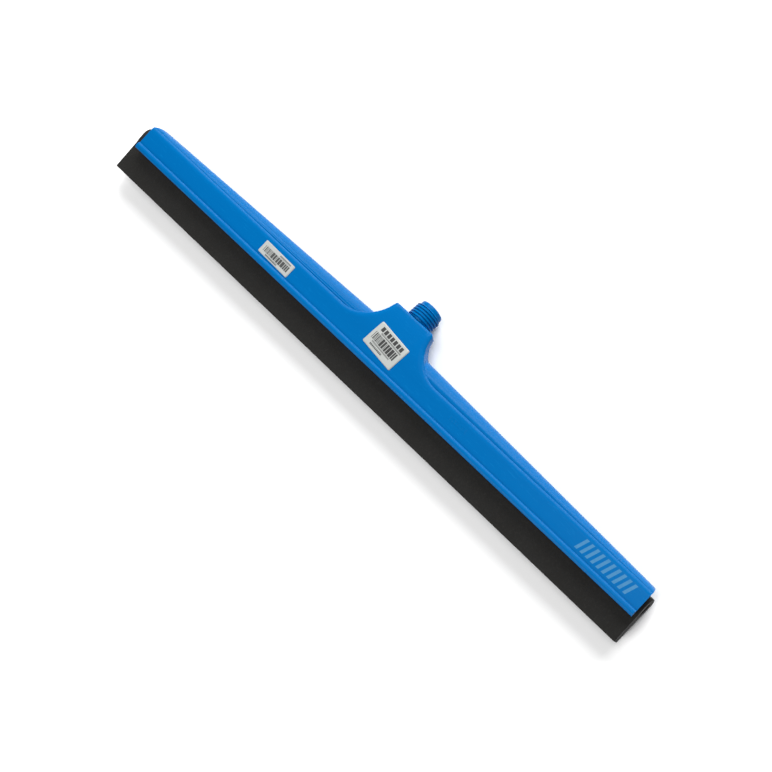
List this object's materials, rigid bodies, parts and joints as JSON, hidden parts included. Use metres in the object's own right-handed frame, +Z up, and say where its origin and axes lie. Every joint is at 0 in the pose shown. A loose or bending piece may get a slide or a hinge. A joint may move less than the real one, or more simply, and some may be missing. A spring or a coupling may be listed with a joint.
{
  "type": "floor squeegee head",
  "caption": "Floor squeegee head: moulded blade holder with a threaded handle spigot and a folded cellular-rubber blade with two lips.",
  "frame": {"origin": "centre of the footprint, on the surface the head lies on", "axes": "+X along the blade, +Y from the rubber lips towards the handle spigot, +Z up out of the front panel"},
  "size_m": [0.55, 0.0872, 0.0277],
  "materials": {
    "polypropylene": "semi-gloss moulded",
    "cellular_rubber": "matt, cellular",
    "core_plastic": "extruded",
    "label_paper": "printed sticker"
  },
  "bodies": {
    "head": {"head_moulding": "polypropylene", "handle_spigot": "polypropylene", "product_label": "label_paper", "stock_label": "label_paper"},
    "refill": {"rubber_blade": "cellular_rubber"},
    "core": {"core_strip": "core_plastic"}
  },
  "joints": [
    {"name": "refill_slide", "type": "slide", "parent": "head", "child": "refill", "axis": [1, 0, 0], "range_m": [-0.55, 0.55]},
    {"name": "core_slide", "type": "slide", "parent": "refill", "child": "core", "axis": [1, 0, 0], "range_m": [-0.55, 0.55]}
  ]
}
